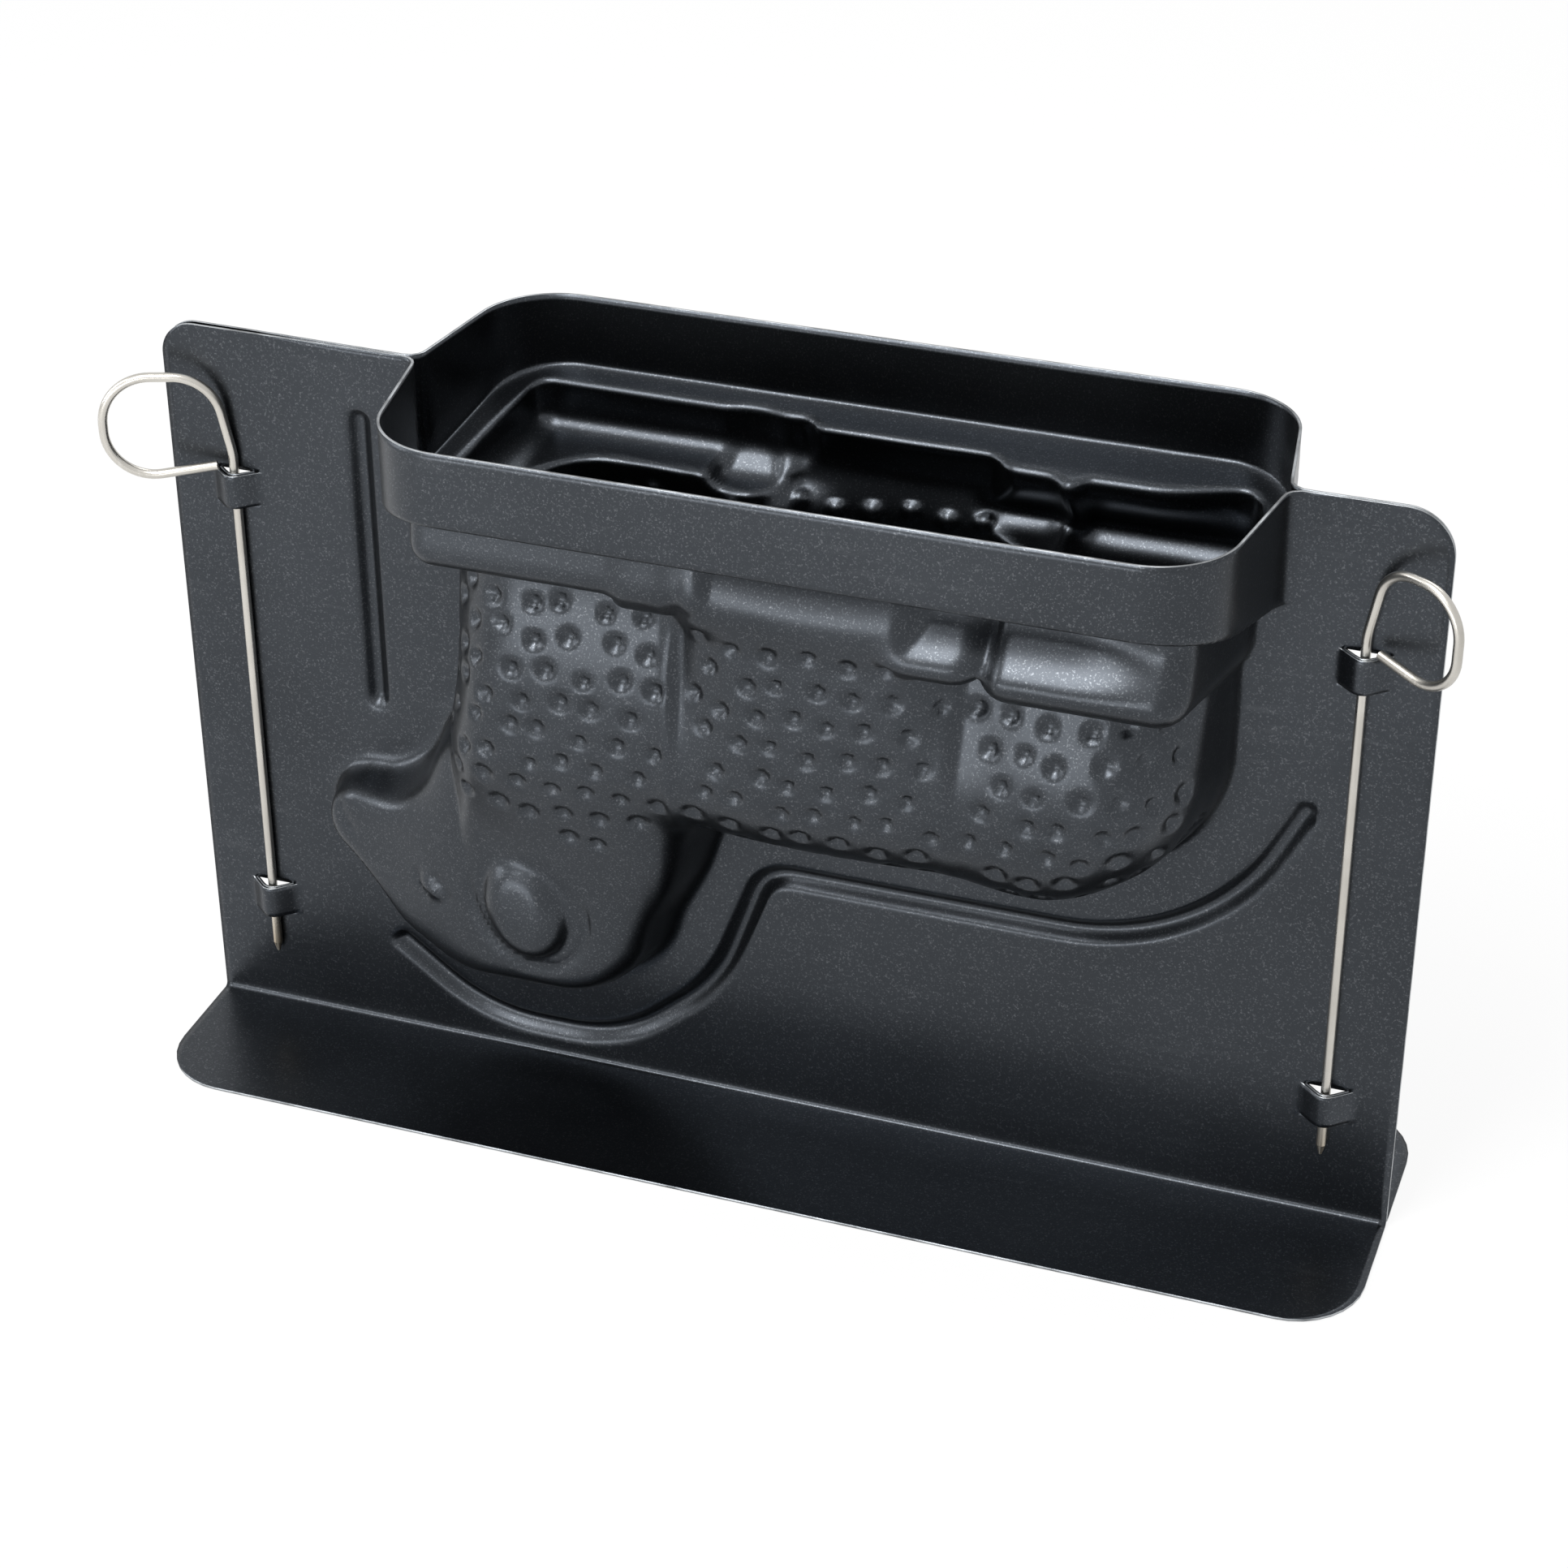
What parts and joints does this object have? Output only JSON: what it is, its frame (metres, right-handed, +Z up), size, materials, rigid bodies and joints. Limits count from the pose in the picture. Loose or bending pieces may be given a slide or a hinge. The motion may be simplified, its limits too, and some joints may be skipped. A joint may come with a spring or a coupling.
{
  "type": "lamb cake mold",
  "caption": "Two-piece pressed steel baking mould for a lying lamb cake, standing upside down on its feet, with a filling mouth on top and pull-out wire pins.",
  "frame": {"origin": "on the surface the mould stands on, in the parting plane between the halves, at the middle of the flange's width", "axes": "+X towards the lamb's rump, -Y towards the front half, +Z up, out of the filling mouth"},
  "size_m": [0.3495, 0.0966, 0.2048],
  "materials": {
    "coated_steel": "satin dark grey non-stick coating with fine metallic flecks",
    "pin_wire": "drawn bright steel wire"
  },
  "bodies": {
    "front": {"front_half": "coated_steel"},
    "back": {"back_half": "coated_steel"},
    "left_wire": {"left_pin": "pin_wire"},
    "right_wire": {"right_pin": "pin_wire"}
  },
  "joints": [
    {"name": "halves_play", "type": "slide", "parent": "front", "child": "back", "axis": [0, 1, 0], "range_m": [0, 0.0005]},
    {"name": "left_pin_pull", "type": "slide", "parent": "front", "child": "left_wire", "axis": [0, 0, 1], "range_m": [0, 0.155]},
    {"name": "right_pin_pull", "type": "slide", "parent": "front", "child": "right_wire", "axis": [0, 0, 1], "range_m": [0, 0.155]}
  ]
}
